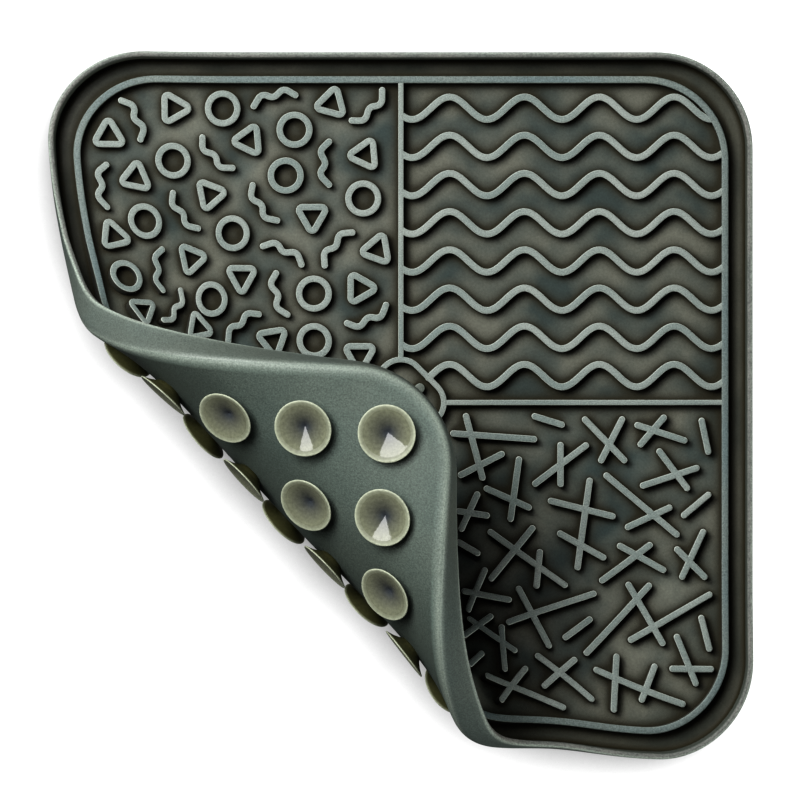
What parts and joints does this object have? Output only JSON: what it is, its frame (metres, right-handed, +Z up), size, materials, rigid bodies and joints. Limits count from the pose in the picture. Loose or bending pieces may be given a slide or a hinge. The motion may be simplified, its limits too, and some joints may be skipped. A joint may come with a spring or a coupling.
{
  "type": "silicone lick mat with one corner curled over",
  "caption": "Square silicone feeding mat: rimmed tray with patterned ridges, suction cups on its back, one corner curled over on top.",
  "frame": {"origin": "middle of the flat mat's outline, on the surface that its suction cups stand on", "axes": "+Z up from that surface; the mat's straight sides lie along X and Y, and the corner at -X -Y is the one that is curled over"},
  "size_m": [0.2, 0.2009, 0.0676],
  "materials": {
    "silicone": "matte moulded silicone, fine grain"
  },
  "bodies": {
    "root": {"mat": "silicone"}
  },
  "joints": []
}
